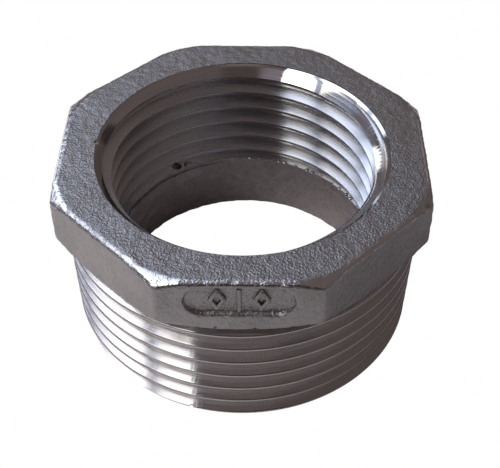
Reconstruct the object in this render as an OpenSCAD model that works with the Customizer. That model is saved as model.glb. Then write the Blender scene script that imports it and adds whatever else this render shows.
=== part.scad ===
// Reducing bushing for pipework, cast and turned in one piece of stainless steel.
// An eight-sided head stands on a tapered outside thread. Inside the head is a
// parallel thread with a turned mouth, and below it a plain cored bore.
// The origin is the centre of the lower end face, with +Z up through the bore.

/* [Body] */
// Height from the lower end face to the top of the head
total_height = 22.2; // [18:0.1:34]

/* [Head] */
// Width across two opposite flats
across_flats = 42; // [41:0.5:50]
// Width across two opposite corners, over their rounding
across_corners = 45.3; // [44:0.1:54]
// Height of a flat along its middle
flat_height = 7; // [5.5:0.1:12]
// Diameter of the circle where the top face ends at the corners
top_circle_d = 43; // [41.5:0.1:50]
// Slope of the top corners below level, in degrees
top_slope = 30; // [15:1:45]
// Slope of the underside above level, in degrees
underside_slope = 34; // [15:1:45]
// Width of the break along the eight top edges
edge_break = 0.25; // [0.1:0.05:1]

/* [Outside thread] */
// Diameter over the ridges at the lower end face
outside_end_d = 41.12; // [38:0.01:41.9]
// Length over which the diameter grows by one unit
taper_length = 16; // [12:1:48]
// Radial depth of the outside grooves
outside_depth = 1.479; // [0.8:0.001:1.479]
// Radial depth of the last shallow groove, under the head
runout_depth = 0.7; // [0.2:0.05:1.2]
// Shortest run of the last groove, under the head
runout_length = 1.2; // [0.8:0.1:3]

/* [Inside thread] */
// Diameter between the inside ridges
inside_minor_d = 30.291; // [26:0.001:32]
// Radial depth of the inside grooves
inside_depth = 1.479; // [0.8:0.001:1.479]
// Depth of the inside thread below the top face
inside_length = 15; // [9:0.1:17]

/* [Both threads] */
// Distance from one ridge to the next
pitch = 2.309; // [2.309:0.001:3]
// Angle between the two sides of a ridge, in degrees
ridge_angle = 55; // [50:1:60]

/* [Bore] */
// Diameter of the turned mouth at the top face
mouth_d = 33.9; // [33:0.1:36]
// Slope of the mouth below level, in degrees
mouth_slope = 45; // [30:1:60]
// Diameter of the plain bore below the inside thread
bore_d = 31.4; // [28:0.1:33]

/* [Front flat] */
// Length of the sunk panel on the front flat
panel_length = 11.6; // [8:0.1:14]
// Height of the sunk panel
panel_height = 4.1; // [2.5:0.1:4.5]
// Distance from the top face down to the middle of the panel
panel_drop = 2.75; // [2.4:0.05:4]
// Depth of the sunk panel
panel_depth = 0.55; // [0.2:0.05:0.8]
// Height of the raised marks above the panel's floor
mark_rise = 0.35; // [0.1:0.05:0.6]
// Height of a raised mark from end to end
mark_height = 3.3; // [1.5:0.1:3.5]
// Width of a raised lozenge
lozenge_width = 1.9; // [1.2:0.1:2.4]
// Width of the raised line that draws a mark
line_width = 0.45; // [0.3:0.05:0.6]
// Distance from the middle bar to the middle of each lozenge
mark_spacing = 2.3; // [1.6:0.1:3]

/* [Hidden] */
$fn = 96;

// Overlap that carries a cut past a face, or a piece into its neighbour
eps = 0.5;
// The head has eight flats, one of which faces the front, along -Y
flats = 8;
flat_step = 360 / flats;

flat_r = across_flats / 2;
corner_r = across_corners / 2;
sharp_corner_r = flat_r / cos(flat_step / 2);
thread_top = total_height - flat_height;

// Half the length of the level land on a ridge or in a groove, and the run of a sloping side
function side_run(depth) = depth * tan(ridge_angle / 2);
function half_land(depth) = (pitch / 2 - side_run(depth)) / 2;

// Radius over the outside ridges at a height above the lower end face
function outside_r(z) = outside_end_d / 2 + z / (2 * taper_length);

// Height of the head's conical underside at a radius
function underside_z(r) = thread_top + (r - flat_r) * tan(underside_slope);

outside_pitches = floor((thread_top - runout_length) / pitch);
last_ridge_z = outside_pitches * pitch;
outside_land = half_land(outside_depth);
runout_r = outside_r(last_ridge_z) - runout_depth;
core_top = underside_z(runout_r) + eps;

inside_bottom = total_height - inside_length;
inside_land = half_land(inside_depth);
inside_minor_r = inside_minor_d / 2;
inside_major_r = inside_minor_r + inside_depth;
inside_pitches = ceil(inside_length / pitch);

mouth_r = mouth_d / 2;
mouth_depth = (mouth_r - inside_minor_r + eps) * tan(mouth_slope);

panel_z = total_height - panel_drop;

// Radius of the mouth's cone at a height above the top face
function mouth_radius_at(rise) = mouth_r + rise / tan(mouth_slope);

// One outside ridge and the groove above it, as points of radius and height
function outside_turn(k) =
    let (z = k * pitch, groove_z = z + pitch / 2)
    [
        [outside_r(z), max(0, z - outside_land)],
        [outside_r(z), z + outside_land],
        [outside_r(groove_z) - outside_depth, groove_z - outside_land],
        [outside_r(groove_z) - outside_depth, groove_z + outside_land],
    ];

// One inside ridge and the groove above it
function inside_turn(k) =
    let (z = inside_bottom + inside_land + k * pitch, groove_z = z + pitch / 2)
    [
        [inside_minor_r, z - inside_land],
        [inside_minor_r, z + inside_land],
        [inside_major_r, groove_z - inside_land],
        [inside_major_r, groove_z + inside_land],
    ];

// Shank with ring ridges at the real pitch, taper and section
module threaded_shank() {
    last_r = outside_r(last_ridge_z);
    rotate_extrude()
        polygon([
            [0, 0],
            for (k = [0 : outside_pitches - 1], point = outside_turn(k)) point,
            [last_r, last_ridge_z - outside_land],
            [last_r, last_ridge_z + outside_land],
            [runout_r, last_ridge_z + outside_land + side_run(runout_depth)],
            [runout_r, core_top],
            [0, core_top],
        ]);
}

// Turned outline of the head: a conical underside, round corners and sloping top corners
module head_outline() {
    top_r = top_circle_d / 2;
    rotate_extrude()
        polygon([
            [0, underside_z(runout_r)],
            [runout_r, underside_z(runout_r)],
            [corner_r, underside_z(corner_r)],
            [corner_r, total_height - (corner_r - top_r) * tan(top_slope)],
            [top_r, total_height],
            [0, total_height],
        ]);
}

// Break along the top edge of each flat
module top_edge_breaks() {
    for (k = [0 : flats - 1])
        rotate(k * flat_step)
            translate([flat_r, 0, total_height])
                rotate([0, 45, 0])
                    cube([edge_break * sqrt(2), across_flats, edge_break * sqrt(2)], center = true);
}

module head() {
    difference() {
        intersection() {
            rotate(flat_step / 2)
                cylinder(r = sharp_corner_r, h = total_height, $fn = flats);
            head_outline();
        }
        top_edge_breaks();
    }
}

// Everything that is bored, threaded or cored out of the middle
module bore_cut() {
    translate([0, 0, -eps])
        cylinder(d = bore_d, h = inside_bottom + eps);
    rotate_extrude()
        polygon([
            [0, inside_bottom - eps],
            [inside_minor_r, inside_bottom - eps],
            for (k = [0 : inside_pitches], point = inside_turn(k)) point,
            [0, inside_turn(inside_pitches)[3].y],
        ]);
    translate([0, 0, total_height - mouth_depth])
        cylinder(r1 = mouth_radius_at(-mouth_depth), r2 = mouth_radius_at(eps), h = mouth_depth + eps);
}

// Places a flat drawing on the front flat, standing up from the given distance behind it
module on_front_flat(behind) {
    translate([0, -flat_r + behind, panel_z])
        rotate([90, 0, 0])
            children();
}

module round_ended(length, height) {
    straight = length - height;
    square([straight, height], center = true);
    for (side = [-1, 1])
        translate([side * straight / 2, 0])
            circle(d = height);
}

module panel_cut() {
    on_front_flat(panel_depth)
        linear_extrude(panel_depth + eps)
            round_ended(panel_length, panel_height);
}

module lozenge(width, height) {
    polygon([[width / 2, 0], [0, height / 2], [-width / 2, 0], [0, -height / 2]]);
}

// Lozenge drawn as a raised line, open in the middle
module open_lozenge() {
    side = sqrt(pow(lozenge_width, 2) + pow(mark_height, 2)) / 2;
    side_distance = lozenge_width * mark_height / (4 * side);
    inner_share = 1 - line_width / side_distance;
    difference() {
        lozenge(lozenge_width, mark_height);
        lozenge(lozenge_width * inner_share, mark_height * inner_share);
    }
}

// Two open lozenges with a bar between them, on the panel's floor
module raised_marks() {
    on_front_flat(panel_depth + eps)
        linear_extrude(mark_rise + eps) {
            for (side = [-1, 1])
                translate([side * mark_spacing, 0])
                    open_lozenge();
            square([line_width, mark_height], center = true);
        }
}

module bushing() {
    color([0.55, 0.54, 0.53])
        union() {
            difference() {
                union() {
                    threaded_shank();
                    head();
                }
                bore_cut();
                panel_cut();
            }
            raised_marks();
        }
}

bushing();
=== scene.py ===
# %% [markdown]
# # A reducing bushing, cast and turned
#
# The real part starts as a casting: an eight-sided head on a plain shank, with a grainy skin all over.
# A lathe then cuts the outside thread, the mouth and the inside thread. What the tool touched is bright
# and shows its marks, and what it didn't touch keeps the skin of the mould. The model is built in that
# order too, because each finish then ends where a real cut ends, and no mask has to be drawn by hand.
#
# The exact frame comes first. It was measured before any Blender work, so every size below is taken
# from it or hangs on it. The bench is in millimetres, and the finished piece is brought to metres last.

# %% Load the measured frame
import math
import random

import bmesh
import bpy
from mathutils import Matrix, Vector


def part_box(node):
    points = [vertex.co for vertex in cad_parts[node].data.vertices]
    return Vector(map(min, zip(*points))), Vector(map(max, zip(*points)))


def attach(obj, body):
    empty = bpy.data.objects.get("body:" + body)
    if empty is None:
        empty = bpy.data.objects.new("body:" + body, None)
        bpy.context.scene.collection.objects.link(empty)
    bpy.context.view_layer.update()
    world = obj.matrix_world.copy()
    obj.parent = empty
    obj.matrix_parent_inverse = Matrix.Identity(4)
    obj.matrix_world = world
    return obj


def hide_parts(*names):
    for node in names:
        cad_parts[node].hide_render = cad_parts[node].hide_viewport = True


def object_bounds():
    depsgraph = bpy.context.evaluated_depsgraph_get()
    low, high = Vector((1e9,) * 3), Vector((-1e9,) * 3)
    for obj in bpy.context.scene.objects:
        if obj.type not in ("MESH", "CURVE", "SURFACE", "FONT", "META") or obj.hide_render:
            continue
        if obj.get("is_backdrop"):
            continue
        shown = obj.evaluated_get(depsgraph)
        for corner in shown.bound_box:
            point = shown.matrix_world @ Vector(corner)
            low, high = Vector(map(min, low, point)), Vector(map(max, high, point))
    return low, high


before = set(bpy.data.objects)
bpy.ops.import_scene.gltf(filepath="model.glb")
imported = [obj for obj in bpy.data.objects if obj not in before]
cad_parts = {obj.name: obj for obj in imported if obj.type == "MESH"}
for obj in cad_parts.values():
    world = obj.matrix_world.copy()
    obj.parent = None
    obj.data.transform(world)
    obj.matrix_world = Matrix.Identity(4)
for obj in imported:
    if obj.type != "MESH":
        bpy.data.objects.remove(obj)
cad_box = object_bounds()

MM = 0.001
lowest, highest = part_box("bushing")
height = (highest.z - lowest.z) / MM
flat_r = (highest.x - lowest.x) / MM / 2
print(f"head {2 * flat_r:.1f} mm across flats, {height:.1f} mm high")

# %% [markdown]
# ## Working by hand, in code
#
# Every operator acts on what is selected. At the bench a person looks before cutting, and a script has to
# do the same: first nothing is selected, then one piece, then the faces or edges at a known place.

# %% Helpers for selecting and finishing
near = 1e-3


def select_only(piece):
    bpy.ops.object.select_all(action="DESELECT")
    piece.select_set(True)
    bpy.context.view_layer.objects.active = piece


def edit(piece):
    select_only(piece)
    bpy.ops.object.mode_set(mode="EDIT")
    bpy.ops.mesh.select_mode(type="VERT")
    bpy.ops.mesh.select_all(action="SELECT")


def leave():
    bpy.ops.object.mode_set(mode="OBJECT")


def pick_faces(piece, test):
    """Selects the faces of the piece in edit mode whose centre and normal pass a test."""
    bpy.ops.mesh.select_mode(type="FACE")
    bpy.ops.mesh.select_all(action="DESELECT")
    mesh = bmesh.from_edit_mesh(piece.data)
    for face in mesh.faces:
        face.select_set(test(face.calc_center_median(), face.normal))
    mesh.select_flush_mode()
    bmesh.update_edit_mesh(piece.data)


def pick_edges(piece, test):
    """Selects the edges of the piece in edit mode whose two ends pass a test."""
    bpy.ops.mesh.select_mode(type="EDGE")
    bpy.ops.mesh.select_all(action="DESELECT")
    mesh = bmesh.from_edit_mesh(piece.data)
    for edge in mesh.edges:
        edge.select_set(test(edge.verts[0].co, edge.verts[1].co))
    mesh.select_flush_mode()
    bmesh.update_edit_mesh(piece.data)


def fix_place(piece):
    """Puts the object at the origin, unturned and unscaled, with its place in its mesh."""
    select_only(piece)
    bpy.ops.object.transform_apply(location=True, rotation=True, scale=True)


def finish_modifier(piece, kind, **values):
    """Adds one modifier, sets its values and applies it."""
    select_only(piece)
    modifier = piece.modifiers.new(kind.lower(), kind)
    for name, value in values.items():
        setattr(modifier, name, value)
    bpy.ops.object.modifier_apply(modifier=modifier.name)


def tell(piece, what):
    """Prints how much mesh a piece has."""
    mesh = piece.data
    mesh.calc_loop_triangles()
    print(f"{what}: {len(mesh.vertices)} points, {len(mesh.loop_triangles)} triangles")


# %% [markdown]
# ## Five finishes
#
# The casting's skin, the turned thread, the tapped thread, the polished mouth and the cored bore each get
# a slot. The slots are empty names for now. A Boolean can hand each cutter's material to the wall that it
# cuts, so every wall ends up with the finish of the tool that made it.

# %% Name the finishes
def finish_slot(name):
    material = bpy.data.materials.new(name)
    material.use_nodes = True
    return material


cast_skin = finish_slot("cast_skin")
turned_thread = finish_slot("turned_thread")
tapped_thread = finish_slot("tapped_thread")
bright_mouth = finish_slot("bright_mouth")
cored_bore = finish_slot("cored_bore")

# %% [markdown]
# ## The head
#
# The head is an eight-sided bar whose corners are turned off above and below. It could be cut out of one
# cylinder edge by edge, but two blanks that meet give the same curves as the lathe does. An eight-sided
# cylinder is the bar.

# %% Eight-sided bar
flats = 8
half_step = math.pi / flats
sharp_corner_r = flat_r / math.cos(half_step)
bar_length = 10
bar_over = 0.8
bpy.ops.object.select_all(action="DESELECT")
bpy.ops.mesh.primitive_cylinder_add(
    vertices=flats, radius=sharp_corner_r, depth=bar_length,
    location=(0, 0, height + bar_over - bar_length / 2), rotation=(0, 0, half_step))
casting = bpy.context.object
casting.name = "bushing_body"
fix_place(casting)
casting.data.materials.append(cast_skin)
tell(casting, "bar")

# %% [markdown]
# The second blank is round, and has the turned outline of the head. Its top ring is drawn in to leave a
# slope, and its lower ring is drawn in to make the conical underside.

# %% Turned outline of the head
outline_steps = 192
corner_r = 22.65
top_circle_r = 21.5
top_slope = math.radians(30)
underside_slope = math.radians(34)
flat_height = 7.0
shank_r = 18.6
thread_top = height - flat_height
corner_top = height - (corner_r - top_circle_r) * math.tan(top_slope)
corner_bottom = thread_top + (corner_r - flat_r) * math.tan(underside_slope)
neck_z = thread_top - (flat_r - shank_r) * math.tan(underside_slope)


def draw_in(piece, at_z, rise, share):
    """Pulls the cap at a height further along the axis and draws it in or out."""
    edit(piece)
    pick_faces(piece, lambda centre, normal: abs(centre.z - at_z) < near and abs(normal.z) > 0.9)
    bpy.ops.mesh.extrude_region_move(TRANSFORM_OT_translate={"value": (0, 0, rise)})
    bpy.ops.transform.resize(value=(share, share, 1))
    leave()


bpy.ops.object.select_all(action="DESELECT")
bpy.ops.mesh.primitive_cylinder_add(
    vertices=outline_steps, radius=corner_r, depth=corner_top - corner_bottom,
    location=(0, 0, (corner_top + corner_bottom) / 2))
outline = bpy.context.object
fix_place(outline)
outline.data.materials.append(cast_skin)
draw_in(outline, corner_top, height - corner_top, top_circle_r / corner_r)
draw_in(outline, corner_bottom, neck_z - corner_bottom, shank_r / corner_r)
tell(outline, "outline")

# %% [markdown]
# What both blanks have in common is the head. The same Boolean later joins and cuts every other piece.

# %% Meet the two blanks
def join(piece, other, how):
    """Cuts, joins or meets a piece with another, whose material goes to the walls that it makes."""
    finish_modifier(piece, "BOOLEAN", object=other, operation=how, solver="EXACT",
                    material_mode="TRANSFER")
    bpy.data.objects.remove(other)


join(casting, outline, "INTERSECT")
tell(casting, "head")

# %% [markdown]
# The top edges were knocked and rubbed, most of all at the front and on the left. A flat file would do it:
# it is laid on an edge at a slope and takes off everything outside its plane. In code the file is a bisect
# that throws away the outer side and closes the cut.

# %% File the top edges
def file_edge(piece, side, slope_deg, top_reach):
    """Takes the top edge off one flat, back to a distance from the sharp edge."""
    facing = 2 * half_step * side
    slope = math.radians(slope_deg)
    stop_r = flat_r - top_reach
    edit(piece)
    bpy.ops.mesh.bisect(
        plane_co=(stop_r * math.cos(facing), stop_r * math.sin(facing), height),
        plane_no=(math.sin(slope) * math.cos(facing), math.sin(slope) * math.sin(facing), math.cos(slope)),
        use_fill=True, clear_outer=True)
    leave()


back_wear, side_wear, left_wear = 0.03, 0.26, 0.5
worn_flats = {3: side_wear, 4: side_wear, 5: left_wear, 6: side_wear, 7: side_wear}
flat_stroke, steep_stroke = 32, 55
steep_share = 0.5
for side in range(flats):
    reach = worn_flats.get(side, back_wear)
    file_edge(casting, side, flat_stroke, reach)
    file_edge(casting, side, steep_stroke, steep_share * reach)
tell(casting, "filed head")

# %% [markdown]
# ## The sunk panel
#
# The front flat has a shallow panel with round ends. It is cut as a slot: a short cylinder is split down
# its middle and the two halves are moved apart, which keeps the ends truly round.

# %% Cut the panel
panel_length = 11.6
panel_height = 4.1
panel_drop = 2.75
panel_depth = 0.55
panel_z = height - panel_drop
floor_y = -flat_r + panel_depth
cutter_depth = 2.0
panel_steps = 64


def along_front(behind, depth):
    """Middle of a block that starts behind the front flat and runs forwards, out of it."""
    return (0, -flat_r + behind - depth / 2, panel_z)


bpy.ops.object.select_all(action="DESELECT")
bpy.ops.mesh.primitive_cylinder_add(
    vertices=panel_steps, radius=panel_height / 2, depth=cutter_depth,
    location=along_front(panel_depth, cutter_depth), rotation=(math.pi / 2, 0, 0))
panel = bpy.context.object
fix_place(panel)
panel.data.materials.append(cast_skin)
edit(panel)
bpy.ops.mesh.bisect(plane_co=(0, 0, 0), plane_no=(1, 0, 0))
leave()
spread = (panel_length - panel_height) / 2
edit(panel)
for side in (-1, 1):
    bpy.ops.mesh.select_all(action="DESELECT")
    mesh = bmesh.from_edit_mesh(panel.data)
    for point in mesh.verts:
        point.select_set(point.co.x * side > near)
    mesh.select_flush_mode()
    bmesh.update_edit_mesh(panel.data)
    bpy.ops.transform.translate(value=(side * spread, 0, 0))
leave()
tell(panel, "panel cutter")
join(casting, panel, "DIFFERENCE")

# %% [markdown]
# ## Melt it into a casting
#
# Metal poured into a mould has no sharp edge, and its walls are never quite true. A voxel remesh turns the
# crisp head into an even skin of small squares, smoothing rounds the edges over, and two displacements
# by cloud noise raise the slow waves and the lumps of the mould. The finest grain is left to the material.

# %% Remesh, round over and make uneven
skin_step = 0.22
wave_size, lump_size = 4.0, 0.7
unevenness = 0.1


def lumps(name, size, depth):
    """Cloud noise of one size in millimetres, as a height for the Displace modifier."""
    texture = bpy.data.textures.new(name, "CLOUDS")
    texture.noise_scale = size
    texture.noise_depth = depth
    return texture


finish_modifier(casting, "REMESH", mode="VOXEL", voxel_size=skin_step)
finish_modifier(casting, "SMOOTH", factor=0.5, iterations=1)
finish_modifier(casting, "DISPLACE", texture=lumps("mould_waves", wave_size, 1), texture_coords="LOCAL",
                strength=unevenness, mid_level=0.47)
finish_modifier(casting, "DISPLACE", texture=lumps("mould_lumps", lump_size, 1), texture_coords="LOCAL",
                strength=unevenness, mid_level=0.5)
tell(casting, "cast head")

# %% [markdown]
# ## Raised marks
#
# The marks that stand in the panel are plain ones: two open lozenges and a bar. A lozenge is a cylinder of
# four sides, inset and pushed through to open it. Each mark stands on the panel's floor and is joined to
# it, with its edges broken as a cast mark's are.

# %% Model one lozenge and one bar
mark_rise = 0.35
mark_height = 3.3
lozenge_width = 1.9
line_width = 0.45
mark_spacing = 2.3
root = 0.5
mark_break = 0.16


def stand_on_floor(piece, x):
    """Breaks the mark's front edges and moves it to its place in the panel."""
    edit(piece)
    front = floor_y - mark_rise
    pick_edges(piece, lambda a, b: max(a.y, b.y) < front + near)
    bpy.ops.mesh.bevel(offset=mark_break, segments=3, affect="EDGES")
    bpy.ops.mesh.select_all(action="SELECT")
    bpy.ops.transform.translate(value=(x, 0, 0))
    leave()
    piece.data.materials.append(cast_skin)


def lozenge(x):
    """Models an open lozenge at a distance to the right of the panel's middle."""
    bpy.ops.object.select_all(action="DESELECT")
    bpy.ops.mesh.primitive_cylinder_add(
        vertices=4, radius=0.5, depth=mark_rise + root,
        location=(0, floor_y + root - (mark_rise + root) / 2, panel_z), rotation=(math.pi / 2, 0, 0))
    mark = bpy.context.object
    mark.scale = (lozenge_width, mark_height, 1)
    fix_place(mark)
    edit(mark)
    pick_faces(mark, lambda centre, normal: abs(normal.y) > 0.9)
    bpy.ops.mesh.inset(thickness=line_width, depth=0)
    bpy.ops.mesh.bridge_edge_loops()
    leave()
    stand_on_floor(mark, x)
    return mark


def bar():
    """Models the upright bar in the panel's middle."""
    bpy.ops.object.select_all(action="DESELECT")
    bpy.ops.mesh.primitive_cube_add(
        size=1, location=(0, floor_y + root - (mark_rise + root) / 2, panel_z),
        scale=(line_width, mark_rise + root, mark_height))
    mark = bpy.context.object
    fix_place(mark)
    stand_on_floor(mark, 0)
    return mark


for mark in (lozenge(-mark_spacing), bar(), lozenge(mark_spacing)):
    tell(mark, "mark")
    join(casting, mark, "UNION")

# %% [markdown]
# ## One tool for both threads
#
# A pipe thread has 55 degree ridges, rounded at the crest and at the root. Its outline over one pitch is
# drawn point by point, as on paper. The Screw modifier then carries it round and up at the same time,
# which gives the true helix of a right-hand thread. The ends are left ragged, because the next cut takes
# them off square.

# %% Draw one pitch and wind it
pitch = 2.309
half_angle = math.radians(55) / 2
sharp_height = pitch / 2 / math.tan(half_angle)
ridge_round = 0.25
tapped_round = 0.1
arc_steps = 4
turn_steps = 160
weld = 0.002


def other_round(depth, known_round):
    """Rounding at the far end of a flank, so that the flank keeps its angle."""
    return (sharp_height - depth) / (1 / math.sin(half_angle) - 1) - known_round


def one_pitch(crest_r, depth, crest_round):
    """Points of radius and height over one pitch, from one crest to the next."""
    turn = math.pi / 2 - half_angle
    root_round = other_round(depth, crest_round)
    steps = [turn * k / arc_steps for k in range(arc_steps + 1)]
    crest = [(crest_r - crest_round * (1 - math.cos(a)), crest_round * math.sin(a)) for a in steps]
    root = [(crest_r - depth + root_round * (1 - math.cos(a)), pitch / 2 - root_round * math.sin(a))
            for a in reversed(steps)]
    half = crest + root
    return half + [(r, pitch - z) for r, z in reversed(half[:-1])]


def draw(name, points, start_angle, start_z):
    """Draws a line of points of radius and height on a plane through the axis."""
    flat = [Vector((r * math.cos(start_angle), r * math.sin(start_angle), z + start_z)) for r, z in points]
    bpy.ops.object.select_all(action="DESELECT")
    bpy.ops.mesh.primitive_plane_add(size=1, location=flat[0])
    line = bpy.context.object
    line.name = name
    fix_place(line)
    edit(line)
    bpy.ops.mesh.merge(type="CENTER")
    for a, b in zip(flat, flat[1:]):
        bpy.ops.mesh.extrude_vertices_move(TRANSFORM_OT_translate={"value": b - a})
    leave()
    return line


def wind(name, crest_r, depth, crest_round, turns, crest_angle, crest_z):
    """Winds a thread whose crest passes a height at an angle round the axis."""
    thread = draw(name, one_pitch(crest_r, depth, crest_round), crest_angle, crest_z)
    finish_modifier(thread, "SCREW", angle=math.tau, screw_offset=pitch, iterations=turns,
                    steps=turn_steps, render_steps=turn_steps, use_merge_vertices=False)
    edit(thread)
    bpy.ops.mesh.remove_doubles(threshold=weld)
    leave()
    return thread


def cut_square(piece, z, keep_above):
    """Cuts everything off below or above a height, and closes the cut."""
    edit(piece)
    bpy.ops.mesh.bisect(plane_co=(0, 0, z), plane_no=(0, 0, 1), use_fill=True,
                        clear_inner=keep_above, clear_outer=not keep_above)
    leave()


def face_outwards(piece):
    edit(piece)
    bpy.ops.mesh.normals_make_consistent(inside=False)
    leave()


print(f"sharp ridge {sharp_height:.2f} mm high, {len(one_pitch(0, 1, ridge_round))} points over one pitch")

# %% [markdown]
# ## The outside thread
#
# The shank's thread is tapered, so that it jams tight in its socket. The exact solid has the standard
# taper, 1 in 16 on the diameter. Here the ridges start 0.06 mm bolder at the end, as they look in the
# photograph, and open by 1 in 20, so that the last one stays inside the flats of the head. The thread is
# wound straight, and the Taper deform then opens it. Its lower end is cut off flat, straight through the
# ridges.

# %% Wind, taper and part off the shank
front = math.radians(270)
end_ridge_r = 20.62
thread_depth = 1.54
first_crest_z = 0.03
into_head = 0.6
shank_top = thread_top + into_head
shank_turns = 10
turns_below = 2
shank_start = first_crest_z - turns_below * pitch
taper = 1 / 40

shank = wind("shank", end_ridge_r, thread_depth, ridge_round, shank_turns, front, shank_start)
cut_square(shank, 0, keep_above=True)
cut_square(shank, shank_top, keep_above=False)
face_outwards(shank)
finish_modifier(shank, "SIMPLE_DEFORM", deform_method="TAPER", deform_axis="Z",
                factor=taper * shank_top / end_ridge_r)
shank.data.materials.append(turned_thread)
tell(shank, "shank")
print("radius over the ridges at the top", round(max(v.co.xy.length for v in shank.data.vertices), 2))

# %% [markdown]
# The tool needs room to stop, so the last groove ends in a plain neck under the head. A neck is round, so
# its outline is drawn once and spun.

# %% Turned neck under the head
def lathe(name, points, steps):
    """Spins a line of points of radius and height into a closed solid."""
    solid = draw(name, points, 0, 0)
    edit(solid)
    bpy.ops.mesh.spin(steps=steps, angle=math.tau, center=(0, 0, 0), axis=(0, 0, 1))
    bpy.ops.mesh.select_all(action="SELECT")
    bpy.ops.mesh.remove_doubles(threshold=weld)
    bpy.ops.mesh.normals_make_consistent(inside=False)
    leave()
    return solid


neck_foot = (18.9, 11.6)
neck_r = 20.2
neck = lathe("neck", [(0, neck_foot[1]), neck_foot, (neck_r, shank_top), (0, shank_top)], turn_steps)
neck.data.materials.append(turned_thread)
join(shank, neck, "UNION")
join(casting, shank, "UNION")
tell(casting, "head and shank")

# %% [markdown]
# ## The inside: cored bore, thread and mouth
#
# The casting comes with a rough cored hole. The core that left it was lumpy, and had shifted a little to
# one side. The cutter is a spun cylinder with many rows of points, so that cloud noise can make it lumpy.

# %% Rough cored bore
bore_r = 15.7
inside_length = 15
inside_bottom = height - inside_length
below = 1.0
into_thread = 0.9
bore_top = inside_bottom + into_thread
bore_rows = 24
bore_steps = 200
core_lump_size = 0.9
wall = [(bore_r, -below + k * (bore_top + below) / bore_rows) for k in range(bore_rows + 1)]
bore = lathe("bore", [(0, -below)] + wall + [(0, bore_top)], bore_steps)
finish_modifier(bore, "DISPLACE", texture=lumps("core_lumps", core_lump_size, 2), texture_coords="LOCAL",
                strength=0.4, mid_level=0.5)
core_off_centre = (0.3, -0.15, 0)
bore.location = core_off_centre
fix_place(bore)
bore.data.materials.append(cored_bore)
tell(bore, "bore cutter")

# %% [markdown]
# The inside thread is parallel. A tap is a screw itself, so the cutter is one more wound thread, whose
# ridges become the grooves. It goes down from the top and stops part way, so its lowest groove breaks
# into the rough wall along a ragged line.

# %% Inside thread
back = math.radians(90)
inside_crest_r = 15.146
inside_depth = 1.479
inside_root_r = inside_crest_r + inside_depth
inside_groove_round = other_round(inside_depth, tapped_round)
inside_crest_z = 18.98
inside_turns = 9
tap_turns_down = 6
above = 1
groove_z = inside_crest_z - pitch / 2 - tap_turns_down * pitch
tap = wind("tap", inside_root_r, inside_depth, inside_groove_round, inside_turns, back, groove_z)
cut_square(tap, inside_bottom, keep_above=True)
cut_square(tap, height + above, keep_above=False)
face_outwards(tap)
tap.data.materials.append(tapped_thread)
tell(tap, "tap")

# %% [markdown]
# The mouth is a polished cone, so that a pipe finds its way in. Its rim ends in a narrow lip that falls
# less steeply, which catches a thin line of light.

# %% Mouth
mouth_r = 16.95
lip = 0.35
lip_fall = 0.25
lip_lean = 0.1
mouth_fall = 3.0
mouth_steps = 240
mouth = lathe("mouth", [
    (0, height - mouth_fall),
    (mouth_r - mouth_fall, height - mouth_fall),
    (mouth_r - lip, height - lip),
    (mouth_r, height - lip + lip_fall),
    (mouth_r + lip_lean, height + above),
    (0, height + above)], mouth_steps)
mouth.data.materials.append(bright_mouth)
tell(mouth, "mouth cutter")

# %% [markdown]
# The three cutters go in one after the other, and each leaves its own finish on the wall that it cuts.

# %% Cut the inside
for cutter in (tap, bore, mouth):
    what = cutter.name
    join(casting, cutter, "DIFFERENCE")
    tell(casting, f"after the {what}")

# %% [markdown]
# ## Small flaws
#
# A real casting has a few: a blow-hole that the tap opened near the end of the thread, a nick in the rim
# of the mouth, and nicks in the lower edge of the front flat and in the ridges under it. Each flaw is a
# small uneven pebble that is pressed in. The pebbles are joined first, so that one cut does for all.

# %% Press in the dents
pebble_lumps = 0.3
pebble_unevenness = 0.5


def pebble(place, size, finish):
    """Makes a lumpy pebble at a place, with its three half sizes."""
    bpy.ops.object.select_all(action="DESELECT")
    bpy.ops.mesh.primitive_ico_sphere_add(subdivisions=3, radius=1, location=place, scale=size)
    stone = bpy.context.object
    fix_place(stone)
    finish_modifier(stone, "DISPLACE", texture=lumps("pebble", pebble_lumps, 1), texture_coords="LOCAL",
                    strength=pebble_unevenness * min(size), mid_level=0.5)
    stone.data.materials.append(finish)
    return stone


def round_axis(r, degrees, z):
    """Place at a radius, an angle round the axis and a height."""
    return (r * math.cos(math.radians(degrees)), r * math.sin(math.radians(degrees)), z)


def heap(pebbles):
    """Joins pebbles that lie apart into one piece."""
    select_only(pebbles[0])
    for stone in pebbles:
        stone.select_set(True)
    bpy.ops.object.join()
    return bpy.context.object


blow_hole = pebble(round_axis(16.2, 124.5, 8.0), (0.8, 0.6, 0.5), cored_bore)
rim_nick = pebble(round_axis(17.0, 176, height - 0.05), (0.3, 0.3, 0.35), cored_bore)
edge_nick = pebble((1.7, -flat_r, thread_top + 0.2), (0.4, 0.25, 0.2), cast_skin)
edge_pit = pebble((-2.5, -flat_r, thread_top + 0.3), (0.2, 0.2, 0.2), cast_skin)
ridge_nick = pebble(round_axis(20.75, 253, 4.4), (0.25, 0.2, 0.2), turned_thread)
end_nick = pebble(round_axis(20.6, 254, 0.1), (0.3, 0.25, 0.2), turned_thread)
join(casting, heap([blow_hole, rim_nick, edge_nick, edge_pit, ridge_nick, end_nick]), "DIFFERENCE")
tell(casting, "with its dents")

# %% [markdown]
# Where the tap stopped and broke into the rough bore, it left burrs: two beside the blow-hole, and a row
# along the last edge on the right. These pebbles stand on the edge and stay. Neighbours may touch, and a
# piece that runs into itself spoils a Boolean, so every other burr goes on in a first heap and the rest
# in a second.

# %% Leave the burrs
chance = random.Random(4)
flank_slope = 0.52
last_turn = 5
quarter_turn = 0.25
burr_seat = 0.1


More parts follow.
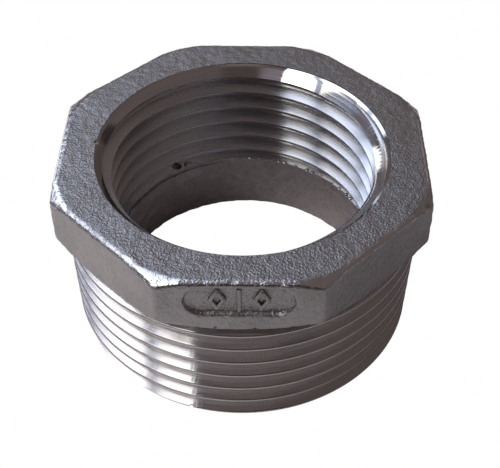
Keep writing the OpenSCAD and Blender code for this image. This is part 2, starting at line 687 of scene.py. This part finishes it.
def ledge(degrees):
    """Place on the edge where the last groove breaks into the wall of the bore."""
    angle = math.radians(degrees)
    wall_r = bore_r + core_off_centre[0] * math.cos(angle) + core_off_centre[1] * math.sin(angle)
    ridge_z = inside_crest_z + (degrees / 360 - quarter_turn - last_turn) * pitch
    return round_axis(wall_r + burr_seat, degrees, ridge_z + flank_slope * (wall_r - inside_crest_r))


burrs = [pebble(round_axis(15.9, 119, 7.95), (0.55, 0.4, 0.35), tapped_thread),
         pebble(round_axis(15.7, 115, 7.7), (0.45, 0.35, 0.3), tapped_thread)]
first_burr, last_burr, burr_step = 14, 90, 5
burr_wander = 1.5
small_burr, large_burr = 0.16, 0.32
burr_length, burr_height = 1.3, 0.8
for degrees in range(first_burr, last_burr, burr_step):
    size = chance.uniform(small_burr, large_burr)
    place = ledge(degrees + chance.uniform(-burr_wander, burr_wander))
    burrs.append(pebble(place, (burr_length * size, size, burr_height * size), tapped_thread))
for every_other in (burrs[::2], burrs[1::2]):
    join(casting, heap(every_other), "UNION")
tell(casting, "with its flaws")

# %% [markdown]
# ## Shade it and bring it to size
#
# Smooth shading runs over the rounded crests, and stops at every edge that a tool left sharp. Weighted
# normals keep the wide flanks of the ridges flat, so that they mirror the room as real flanks do.

# %% Finish the piece
fine_weld = 0.001
smooth_up_to = math.radians(40)
edit(casting)
bpy.ops.mesh.remove_doubles(threshold=fine_weld)
bpy.ops.mesh.normals_make_consistent(inside=False)
leave()
select_only(casting)
bpy.ops.object.shade_smooth_by_angle(angle=smooth_up_to)
finish_modifier(casting, "WEIGHTED_NORMAL", mode="FACE_AREA", keep_sharp=True)
casting.scale = (MM, MM, MM)
fix_place(casting)
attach(casting, "root")
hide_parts("bushing")
print("finishes", [material.name for material in casting.data.materials])
tell(casting, "finished piece")

# %% [markdown]
# ## The finishes
#
# All five are the same steel, so their colours lie close together. What differs is the surface at the
# scale of a tenth of a millimetre, and that is what the light shows. Two effects serve more than one
# finish, so each is a node group: the grain of the mould, and the marks of a turning tool.

# %% A small node bench
def new_group(name, inputs, outputs):
    """Makes a node group with named number sockets, and hands out its two ends."""
    group = bpy.data.node_groups.new(name, "ShaderNodeTree")
    for label, value in inputs.items():
        socket = group.interface.new_socket(label, in_out="INPUT", socket_type="NodeSocketFloat")
        socket.default_value = value
    for label in outputs:
        group.interface.new_socket(label, in_out="OUTPUT", socket_type="NodeSocketFloat")
    given = group.nodes.new("NodeGroupInput").outputs
    result = group.nodes.new("NodeGroupOutput").inputs
    return group, given, result


def plug(tree, value, socket):
    """Links a socket, or sets a plain value."""
    if isinstance(value, bpy.types.NodeSocket):
        tree.links.new(value, socket)
    else:
        socket.default_value = value


def calc(tree, operation, *values):
    """Adds one Math node and hands out its result."""
    made = tree.nodes.new("ShaderNodeMath")
    made.operation = operation
    for value, socket in zip(values, made.inputs):
        plug(tree, value, socket)
    return made.outputs[0]


def vector(tree, x, y, z):
    made = tree.nodes.new("ShaderNodeCombineXYZ")
    for value, socket in zip((x, y, z), made.inputs):
        plug(tree, value, socket)
    return made.outputs[0]


def noise(tree, place, scale, detail=0.0, roughness=0.5, distortion=0.0):
    made = tree.nodes.new("ShaderNodeTexNoise")
    plug(tree, place, made.inputs["Vector"])
    plug(tree, scale, made.inputs["Scale"])
    plug(tree, detail, made.inputs["Detail"])
    plug(tree, roughness, made.inputs["Roughness"])
    plug(tree, distortion, made.inputs["Distortion"])
    return made.outputs[0]


def remap(tree, value, low, high, to_low, to_high):
    """Turns one range into another, with soft ends."""
    made = tree.nodes.new("ShaderNodeMapRange")
    made.interpolation_type = "SMOOTHSTEP"
    for given, socket in zip((value, low, high, to_low, to_high), made.inputs):
        plug(tree, given, socket)
    return made.outputs[0]


def in_millimetres(tree):
    """Place on the piece, in the units of the bench."""
    place = tree.nodes.new("ShaderNodeTexCoord")
    scaled = tree.nodes.new("ShaderNodeMapping")
    scaled.inputs["Scale"].default_value = (1 / MM, 1 / MM, 1 / MM)
    tree.links.new(place.outputs["Object"], scaled.inputs["Vector"])
    return scaled.outputs[0]


# %% [markdown]
# The mould's grain is a skin of short, worm-like ridges about a third of a millimetre wide. Noise of one
# size, pulled about by its own distortion, gives them. A second and larger noise makes some patches
# rougher than others, the back half came out of the mould smoother than the front, and the deepest
# hollows come out as a mask for painted shade, which darkens the colour there.

# %% Group: grain of the mould
cast_grain, given, result = new_group(
    "cast_grain", {"Ridges per mm": 2.4, "Worming": 0.6, "Patch per mm": 0.25},
    ["Height", "Painted hollow shade", "Patches"])
place = in_millimetres(cast_grain)
ridges = noise(cast_grain, place, given["Ridges per mm"], detail=1.0, roughness=0.45,
               distortion=given["Worming"])
patches = noise(cast_grain, place, given["Patch per mm"], detail=2.0)
calm = remap(cast_grain, patches, 0.35, 0.65, 0.7, 1.0)
split = cast_grain.nodes.new("ShaderNodeSeparateXYZ")
cast_grain.links.new(place, split.inputs[0])
smoother_back = remap(cast_grain, split.outputs["Y"], -22.0, 20.0, 1.1, 0.5)
plug(cast_grain, calc(cast_grain, "MULTIPLY", ridges, calc(cast_grain, "MULTIPLY", calm, smoother_back)),
     result["Height"])
# Painted shade: this mask darkens the colour in the hollows between the ridges.
plug(cast_grain, remap(cast_grain, ridges, 0.32, 0.5, 1.0, 0.0), result["Painted hollow shade"])
plug(cast_grain, patches, result["Patches"])
print("cast_grain", len(cast_grain.nodes), "nodes")

# %% [markdown]
# A turning tool leaves two patterns. Its point draws fine lines round the axis, and its trembling leaves
# faint bars across them. Both follow the lathe and not the room, so the group first works out the angle
# round the axis and the distance from it, and stretches noise along one or the other.

# %% Group: marks of the turning tool
tool_marks, given, result = new_group(
    "tool_marks", {"Lines per mm": 9.0, "Bars per turn": 420.0, "Tremble": 0.5},
    ["Height", "Streaks"])
split = tool_marks.nodes.new("ShaderNodeSeparateXYZ")
tool_marks.links.new(in_millimetres(tool_marks), split.inputs[0])
x, y, z = split.outputs
angle = calc(tool_marks, "ARCTAN2", y, x)
radius = calc(tool_marks, "SQRT", calc(tool_marks, "ADD", calc(tool_marks, "POWER", x, 2.0),
                                       calc(tool_marks, "POWER", y, 2.0)))
slowly_round = calc(tool_marks, "MULTIPLY", angle, 2.5)
across = calc(tool_marks, "MULTIPLY", radius, given["Lines per mm"])
slowly_up = calc(tool_marks, "MULTIPLY", z, 0.8)
lines = noise(tool_marks, vector(tool_marks, slowly_round, across, slowly_up), scale=1.0, detail=1.0)
quickly_round = calc(tool_marks, "MULTIPLY", angle,
                     calc(tool_marks, "DIVIDE", given["Bars per turn"], math.tau))
slowly_out = calc(tool_marks, "MULTIPLY", radius, 0.7)
hardly_up = calc(tool_marks, "MULTIPLY", z, 0.3)
bars = noise(tool_marks, vector(tool_marks, quickly_round, slowly_out, hardly_up), scale=1.0, detail=1.0)
plug(tool_marks, calc(tool_marks, "ADD", lines, calc(tool_marks, "MULTIPLY", bars, given["Tremble"])),
     result["Height"])
plug(tool_marks, lines, result["Streaks"])
print("tool_marks", len(tool_marks.nodes), "nodes")


# %% [markdown]
# Every finish starts as bare metal, takes its two shades of steel from a mask, and its relief from a
# height. A bump only leans the light and leaves the mesh as it is, which suits marks this fine.

# %% Steel, shared by every finish
def steel(material, roughness):
    """Turns a slot's shader into bare metal."""
    shader = material.node_tree.nodes["Principled BSDF"]
    shader.inputs["Metallic"].default_value = 1
    shader.inputs["Roughness"].default_value = roughness
    return shader


def place_group(tree, group, **values):
    made = tree.nodes.new("ShaderNodeGroup")
    made.node_tree = group
    for name, value in values.items():
        made.inputs[name.replace("_", " ")].default_value = value
    return made.outputs


def bump(tree, shader, height_socket, depth_mm, strength=1.0):
    made = tree.nodes.new("ShaderNodeBump")
    made.inputs["Distance"].default_value = depth_mm * MM
    made.inputs["Strength"].default_value = strength
    tree.links.new(height_socket, made.inputs["Height"])
    tree.links.new(made.outputs["Normal"], shader.inputs["Normal"])


def shades(tree, value, dark, light, shader):
    """Runs the base colour between two shades of steel."""
    ramp = tree.nodes.new("ShaderNodeValToRGB")
    ramp.color_ramp.elements[0].color = (*dark, 1)
    ramp.color_ramp.elements[1].color = (*light, 1)
    tree.links.new(value, ramp.inputs["Fac"])
    tree.links.new(ramp.outputs["Color"], shader.inputs["Base Color"])


# %% [markdown]
# Where hands, boxes and other fittings rub, the skin wears smooth: along the top edges of the flats and on
# the corners that were turned off. The group measures how far a point is from the ideal edge of the
# eight-sided bar, by folding the angle round the axis into one flat's share, and breaks the line up.

# %% Group: worn edges
worn_edges, given, result = new_group("worn_edges", {"Reach": 0.3, "Break up": 0.15}, ["Wear"])
place = in_millimetres(worn_edges)
split = worn_edges.nodes.new("ShaderNodeSeparateXYZ")
worn_edges.links.new(place, split.inputs[0])
x, y, z = split.outputs
angle = calc(worn_edges, "ADD", calc(worn_edges, "ARCTAN2", y, x), math.tau + half_step)
folded = calc(worn_edges, "SUBTRACT", calc(worn_edges, "MODULO", angle, 2 * half_step), half_step)
radius = calc(worn_edges, "SQRT", calc(worn_edges, "ADD", calc(worn_edges, "POWER", x, 2.0),
                                       calc(worn_edges, "POWER", y, 2.0)))
outwards = calc(worn_edges, "MULTIPLY", radius, calc(worn_edges, "COSINE", folded))
inwards = calc(worn_edges, "MULTIPLY", calc(worn_edges, "SUBTRACT", flat_r, outwards), math.sin(top_slope))
down = calc(worn_edges, "MULTIPLY", calc(worn_edges, "SUBTRACT", height, z), math.cos(top_slope))
from_edge = calc(worn_edges, "ADD", inwards, down)
flecks = noise(worn_edges, place, scale=1.6, detail=2.0)
uneven = calc(worn_edges, "MULTIPLY", calc(worn_edges, "SUBTRACT", flecks, 0.5), given["Break up"])
cone_fall = calc(worn_edges, "MULTIPLY", calc(worn_edges, "SUBTRACT", radius, top_circle_r),
                 math.tan(top_slope))
from_cone = calc(worn_edges, "SUBTRACT", calc(worn_edges, "SUBTRACT", height, z), cone_fall)
corner_saved = 0.15
nearest = calc(worn_edges, "MINIMUM", from_edge, calc(worn_edges, "ADD", from_cone, corner_saved))
broken_up = calc(worn_edges, "ADD", nearest, uneven)
full_wear = calc(worn_edges, "MULTIPLY", given["Reach"], 0.5)
plug(worn_edges, remap(worn_edges, broken_up, full_wear, given["Reach"], 1.0, 0.0), result["Wear"])
print("worn_edges", len(worn_edges.nodes), "nodes")


# %% [markdown]
# The skin of the head is dull and grainy, with wear laid over it. The wall of the bore was never rubbed,
# and its grain is shallow.

# %% Cast skin of the head and of the bore
def grainy(material, roughness, dark, light, depth_mm, **grain_values):
    """Gives a slot the mould's grain, with painted shade in the hollows."""
    tree = material.node_tree
    shader = steel(material, roughness)
    grain = place_group(tree, cast_grain, **grain_values)
    # The hollows' mask darkens the base colour there: painted shade.
    shades(tree, grain["Painted hollow shade"], light, dark, shader)
    rough = remap(tree, grain["Patches"], 0.3, 0.7, roughness - 0.04, roughness + 0.06)
    plug(tree, rough, shader.inputs["Roughness"])
    bump(tree, shader, grain["Height"], depth_mm)
    return tree, shader, rough


def add_wear(tree, shader, rough, worn_roughness, worn_colour, **wear_values):
    """Lays worn edges over a finish: brighter, smoother and with shallower grain."""
    wear = place_group(tree, worn_edges, **wear_values)["Wear"]
    grain_bump = shader.inputs["Normal"].links[0].from_node
    grain_height = grain_bump.inputs["Height"].links[0].from_socket
    plug(tree, calc(tree, "MULTIPLY", grain_height, remap(tree, wear, 0.0, 1.0, 1.0, 0.4)),
         grain_bump.inputs["Height"])
    smoother = tree.nodes.new("ShaderNodeMix")
    plug(tree, wear, smoother.inputs["Factor"])
    plug(tree, rough, smoother.inputs["A"])
    smoother.inputs["B"].default_value = worn_roughness
    tree.links.new(smoother.outputs["Result"], shader.inputs["Roughness"])
    brighter = tree.nodes.new("ShaderNodeMix")
    brighter.data_type = "RGBA"
    plug(tree, wear, brighter.inputs["Factor"])
    tree.links.new(shader.inputs["Base Color"].links[0].from_socket, brighter.inputs[6])
    brighter.inputs[7].default_value = (*worn_colour, 1)
    tree.links.new(brighter.outputs[2], shader.inputs["Base Color"])


skin = grainy(cast_skin, roughness=0.4, dark=(0.315, 0.305, 0.3), light=(0.355, 0.344, 0.338),
              depth_mm=0.11, Ridges_per_mm=3.6)
add_wear(*skin, worn_roughness=0.2, worn_colour=(0.7, 0.7, 0.7), Reach=0.36)
grainy(cored_bore, roughness=0.6, dark=(0.47, 0.43, 0.425), light=(0.55, 0.505, 0.5),
       depth_mm=0.02, Ridges_per_mm=2.0)
for material in (cast_skin, cored_bore):
    print(material.name, len(material.node_tree.nodes), "nodes")


# %% [markdown]
# Turned steel smears a reflection across the tool's lines, which is what draws the bright and dark bars
# over the ridges. The Anisotropic value does that, along a tangent that runs round the axis.

# %% Turned finishes
def lathe_cut(material, roughness, dark, light, depth_mm, **mark_values):
    """Gives a slot the look of metal cut on a lathe, with the tool's marks."""
    tree = material.node_tree
    shader = steel(material, roughness)
    shader.inputs["Anisotropic"].default_value = 1
    shader.inputs["Anisotropic Rotation"].default_value = 0.25
    around = tree.nodes.new("ShaderNodeTangent")
    around.direction_type = "RADIAL"
    around.axis = "Z"
    tree.links.new(around.outputs["Tangent"], shader.inputs["Tangent"])
    marks = place_group(tree, tool_marks, **mark_values)
    streaks = marks["Streaks"]
    shades(tree, remap(tree, streaks, 0.3, 0.7, 0.0, 1.0), dark, light, shader)
    rough = remap(tree, streaks, 0.3, 0.7, roughness - 0.03, roughness + 0.05)
    plug(tree, rough, shader.inputs["Roughness"])
    bump(tree, shader, marks["Height"], depth_mm)


lathe_cut(turned_thread, roughness=0.16, dark=(0.5, 0.48, 0.475), light=(0.57, 0.55, 0.545),
          depth_mm=0.001, Tremble=3.0)
lathe_cut(tapped_thread, roughness=0.22, dark=(0.54, 0.53, 0.53), light=(0.58, 0.57, 0.57),
          depth_mm=0.0003)
lathe_cut(bright_mouth, roughness=0.05, dark=(0.6, 0.59, 0.59), light=(0.68, 0.67, 0.66),
          depth_mm=0.0005, Lines_per_mm=5.0)
for material in (turned_thread, tapped_thread, bright_mouth):
    print(material.name, len(material.node_tree.nodes), "nodes")

# %% [markdown]
# ## Camera, floor and light
#
# The camera stands where the photograph was taken from, which the frame's edges and threads gave.

# %% Camera
camera_place = Vector((1.818, -91.939, 98.949)) * MM
looks_down = math.radians(44.472)
turned = math.radians(0.597)
rolled = math.radians(0.165)
lens_mm = 75.11

camera_data = bpy.data.cameras.new("camera")
camera_data.lens = lens_mm
camera_data.sensor_width = 36
camera_data.clip_start = 0.005
camera = bpy.data.objects.new("camera", camera_data)
bpy.context.scene.collection.objects.link(camera)
camera.matrix_world = (Matrix.Translation(camera_place) @ Matrix.Rotation(turned, 4, "Z")
                       @ Matrix.Rotation(math.pi / 2 - looks_down, 4, "X")
                       @ Matrix.Rotation(rolled, 4, "Z"))
bpy.context.scene.camera = camera
print(f"camera {camera_place.length / MM:.0f} mm from the lower end face, {lens_mm} mm lens")

# %% [markdown]
# The fitting stands on pale paper. The camera sees the paper plain white. The steel sees it as it is, with
# the shade of whoever takes the picture lying over its nearer part.

# %% Floor
bpy.ops.object.select_all(action="DESELECT")
bpy.ops.mesh.primitive_plane_add(size=4, location=(0, 0, 0))
floor = bpy.context.object
floor.name = "floor"
floor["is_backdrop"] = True
floor_paint = bpy.data.materials.new("floor_paint")
floor_paint.use_nodes = True
floor.data.materials.append(floor_paint)
nodes, links = floor_paint.node_tree.nodes, floor_paint.node_tree.links
paper = nodes["Principled BSDF"]
paper.inputs["Roughness"].default_value = 0.9
floor_place = nodes.new("ShaderNodeSeparateXYZ")
links.new(in_millimetres(floor_paint.node_tree), floor_place.inputs[0])
shade_full, shade_ends = -75.0, -48.0
shaded_paper, open_paper = (0.2, 0.18, 0.177), (0.46, 0.415, 0.408)
near_piece = remap(floor_paint.node_tree, floor_place.outputs["Y"], shade_full, shade_ends, 0.0, 1.0)
shades(floor_paint.node_tree, near_piece, shaded_paper, open_paper, paper)
seen = nodes.new("ShaderNodeEmission")
seen.inputs["Color"].default_value = (1, 1, 1, 1)
mix = nodes.new("ShaderNodeMixShader")
path = nodes.new("ShaderNodeLightPath")
links.new(path.outputs["Is Camera Ray"], mix.inputs["Fac"])
links.new(paper.outputs["BSDF"], mix.inputs[1])
links.new(seen.outputs["Emission"], mix.inputs[2])
links.new(mix.outputs["Shader"], nodes["Material Output"].inputs["Surface"])

# %% [markdown]
# The light is that of a room with tall windows to the left. It is painted in the world by direction, so
# that it lies infinitely far off and lights the floor evenly. Each direction above the floor is followed
# to a ceiling one unit up, where it lands at some place to the right and some place back. There, a straight
# line is a straight edge of a window, and a window is what lies between its edges.

# %% Ceiling coordinates
world = bpy.data.worlds.new("room")
bpy.context.scene.world = world
world.use_nodes = True
room = world.node_tree
room.nodes.clear()
direction = room.nodes.new("ShaderNodeTexCoord")
split = room.nodes.new("ShaderNodeSeparateXYZ")
room.links.new(direction.outputs["Generated"], split.inputs[0])
rise = calc(room, "MAXIMUM", split.outputs["Z"], 0.03)
to_right = calc(room, "DIVIDE", split.outputs["X"], rise)
to_back = calc(room, "DIVIDE", split.outputs["Y"], rise)


def left_of(point, angle, blur=0.02):
    """Rises from 0 to 1 across a line through a point on the ceiling, on the line's left."""
    a, b = -math.sin(math.radians(angle)), math.cos(math.radians(angle))
    along = calc(room, "MULTIPLY_ADD", to_right, a, calc(room, "MULTIPLY", to_back, b))
    start = a * point[0] + b * point[1]
    return remap(room, along, start - blur, start + blur, 0.0, 1.0)


def all_of(*masks):
    """Is 1 where every mask is 1."""
    found = masks[0]
    for mask in masks[1:]:
        found = calc(room, "MULTIPLY", found, mask)
    return found


def spot(azimuth, elevation, inner, outer):
    """Falls from 1 to 0 between two angles away from a direction."""
    a, e = math.radians(azimuth), math.radians(elevation)
    towards = room.nodes.new("ShaderNodeVectorMath")
    towards.operation = "DOT_PRODUCT"
    room.links.new(direction.outputs["Generated"], towards.inputs[0])
    towards.inputs[1].default_value = (math.cos(a) * math.cos(e), math.sin(a) * math.cos(e), math.sin(e))
    return remap(room, towards.outputs["Value"], math.cos(math.radians(outer)),
                 math.cos(math.radians(inner)), 0.0, 1.0)


def glow(colour, mask):
    """Light of one colour where a mask is 1."""
    made = room.nodes.new("ShaderNodeBackground")
    made.inputs["Color"].default_value = (*colour, 1)
    plug(room, mask, made.inputs["Strength"])
    return made.outputs[0]


def together(*lights):
    """Adds lights up."""
    found = lights[0]
    for light in lights[1:]:
        made = room.nodes.new("ShaderNodeAddShader")
        room.links.new(found, made.inputs[0])
        room.links.new(light, made.inputs[1])
        found = made.outputs[0]
    return found


def without(mask):
    """Turns a mask round, so that 1 becomes 0."""
    return calc(room, "SUBTRACT", 1.0, mask)


# %% [markdown]
# The windows are one shape with five edges, and one post with a bend in it parts them. Through the glass,
# one side shows white light, dimmed where a blind hangs, and the other side shows the blue of the sky,
# with a rail across it.

# %% Windows
bulge = calc(room, "MULTIPLY", left_of((-0.35, -0.25), 58, 0.012), left_of((0, 0.08), 180, 0.05))
right_edge = calc(room, "MAXIMUM", left_of((-0.33, -0.15), 72.5, 0.012), bulge)
sill = left_of((-1.34, 0.54), 291, 0.06)
back_edge = left_of((-1.0, 1.32), 170, 0.12)
near_edge = left_of((-0.8, -1.1), 0, 0.1)
far_edge = left_of((-0.13, 0.45), 99, 0.05)
glass = all_of(right_edge, sill, near_edge, back_edge, far_edge)
far_post = calc(room, "SUBTRACT", left_of((-0.485, 0.05), 61), left_of((-0.57, 0.05), 61))
near_post = calc(room, "SUBTRACT", left_of((-0.972, -0.403), 29), left_of((-1.018, -0.31), 29))
bend = left_of((-0.6, -0.18), 0)
post = calc(room, "ADD", calc(room, "MULTIPLY", far_post, bend),
            calc(room, "MULTIPLY", near_post, without(bend)))
rail = calc(room, "SUBTRACT", left_of((-0.815, 0.68), 173, 0.03), left_of((-0.815, 0.56), 173, 0.03))
blind = all_of(left_of((-0.56, -0.2), 76), without(left_of((-0.76, -0.15), 76)),
               left_of((-0.8, -0.32), 0, 0.05))
blind_dims, rail_dims = 0.45, 0.5
sky_side = remap(room, calc(room, "ADD", to_right, to_back), -0.8, -0.55, 0.0, 1.0)
open_glass = calc(room, "MULTIPLY", glass, without(post))
white_light = all_of(open_glass, without(sky_side), without(calc(room, "MULTIPLY", blind, blind_dims)))
sky_light = all_of(open_glass, sky_side, without(calc(room, "MULTIPLY", rail, rail_dims)))
print("windows", len(room.nodes), "nodes")

# %% [markdown]
# The rest is a dim warm room with soft round areas. Each is given by where it lies, as an angle round the
# axis and an angle above the floor, and by where it begins and ends to fade, in degrees from its middle.
# Some are darker than the walls, such as a door and the one who takes the picture, and some are lighter.

# %% The dim room
camera_shade = spot(273, 54, 6, 14)
dark_door = spot(36, 16, 6, 12)
low_window = spot(133, 8, 5, 11)
mid_window = spot(147, 29, 2, 7)
sky_corner = spot(134, 36, 2, 6)
frame_glow = spot(240, 51, 2, 12)
ceiling = spot(270, 73, 4, 13)
left_wall = spot(180, 22, 10, 50)
under_sill = spot(180, 33, 4, 15)
back_wall = spot(90, 42, 12, 26)
camera_side = spot(275, 20, 18, 40)
low_left = spot(196, 11, 6, 14)
dark_wall = spot(52, 2, 10, 22)
half_dark = calc(room, "MULTIPLY", calc(room, "MAXIMUM", camera_shade, dark_wall), 0.5)
darkest = 0.7
dim = calc(room, "MAXIMUM", calc(room, "MAXIMUM", half_dark, dark_door),
           calc(room, "MAXIMUM", camera_side, low_left))
lit = without(calc(room, "MULTIPLY", dim, darkest))
room_light = together(
    glow((0.128, 0.104, 0.1), lit),
    glow((0.06, 0.075, 0.115), left_wall),
    glow((0.07, 0.06, 0.058), ceiling),
    glow((0.185, 0.17, 0.16), back_wall),
    glow((3.4, 3.38, 3.34), white_light),
    glow((1.45, 1.72, 2.25), sky_light),
    glow((0.38, 0.48, 0.6), calc(room, "MULTIPLY", glass, post)),
    glow((0.08, 0.12, 0.19), under_sill),
    glow((0.14, 0.13, 0.16), frame_glow),
    glow((0.2, 0.23, 0.3), mid_window),
    glow((0.8, 0.85, 0.9), sky_corner),
    glow((2.2, 2.3, 2.4), low_window))
output = room.nodes.new("ShaderNodeOutputWorld")
room.links.new(room_light, output.inputs["Surface"])
bpy.context.scene.view_settings.view_transform = "Standard"
print("room", len(room.nodes), "nodes")

# %% [markdown]
# One small lamp stands to the left and lights the paper there, as a near window would. It is left out of
# mirror reflections, so that no lamp shows in the bright steel.

# %% Lamp for the paper on the left
lamp_data = bpy.data.lights.new("paper_lamp", "AREA")
lamp_data.shape = "DISK"
lamp_data.size = 60 * MM
lamp_data.energy = 0.25
lamp_data.color = (0.95, 0.99, 1.0)
lamp = bpy.data.objects.new("paper_lamp", lamp_data)
bpy.context.scene.collection.objects.link(lamp)
lamp.location = Vector((-102, -20, 108)) * MM
lit_place = Vector((-40, -15, 0)) * MM
lamp.rotation_euler = (lit_place - lamp.location).to_track_quat("-Z", "Y").to_euler()
lamp.visible_glossy = False
print(f"lamp {(lit_place - lamp.location).length / MM:.0f} mm from the place that it lights")

# %% [markdown]
# Last, the finished model is measured beside the frame, and both boxes are printed. It can pass the
# frame by the height of the skin's lumps.

# %% Measure the finished model against the frame
model_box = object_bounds()
for name, box in (("frame", cad_box), ("model", model_box)):
    print(name, [round(value / MM, 2) for corner in box for value in corner], "mm")
